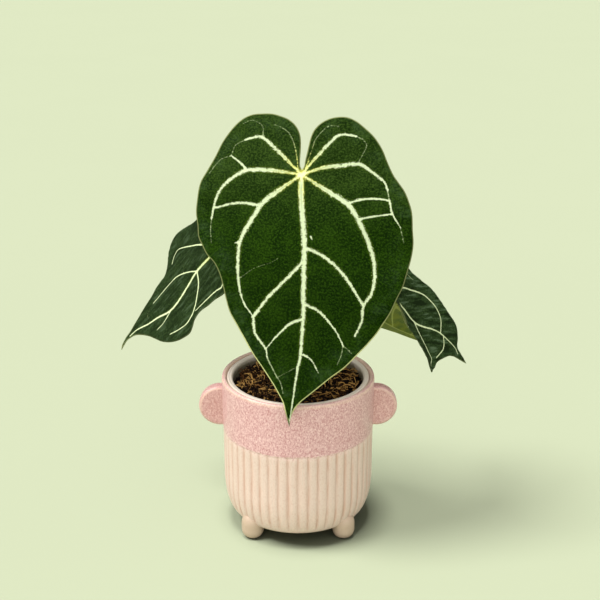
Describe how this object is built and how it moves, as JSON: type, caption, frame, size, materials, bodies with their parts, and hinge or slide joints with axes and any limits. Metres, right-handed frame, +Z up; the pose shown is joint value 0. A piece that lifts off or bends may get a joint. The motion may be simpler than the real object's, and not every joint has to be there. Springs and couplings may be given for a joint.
{
  "type": "potted silver blush anthurium",
  "caption": "Heart-leaved aroid with pale net veins, standing in its nursery pot inside a ribbed, half-glazed cover pot with round lugs and short feet.",
  "frame": {"origin": "bottom centre of the whole object's box, on the surface that it stands on", "axes": "+Z up, -Y towards the front leaf's face, +X to the right as the picture shows it"},
  "size_m": [0.32, 0.2482, 0.3587],
  "materials": {
    "glazed_pot": "satin",
    "nursery_plastic": "satin",
    "coir_mix": "matte",
    "crown_bark": "matte",
    "stalk": "satin",
    "blade": "satin"
  },
  "bodies": {
    "root": {"cover_pot": "glazed_pot", "grow_pot": "nursery_plastic", "soil": "coir_mix", "crown": "crown_bark", "petiole_front": "stalk", "petiole_left": "stalk", "petiole_right": "stalk", "petiole_back": "stalk", "leaf_front": "blade", "leaf_left": "blade", "leaf_right": "blade", "leaf_back": "blade"}
  },
  "joints": []
}
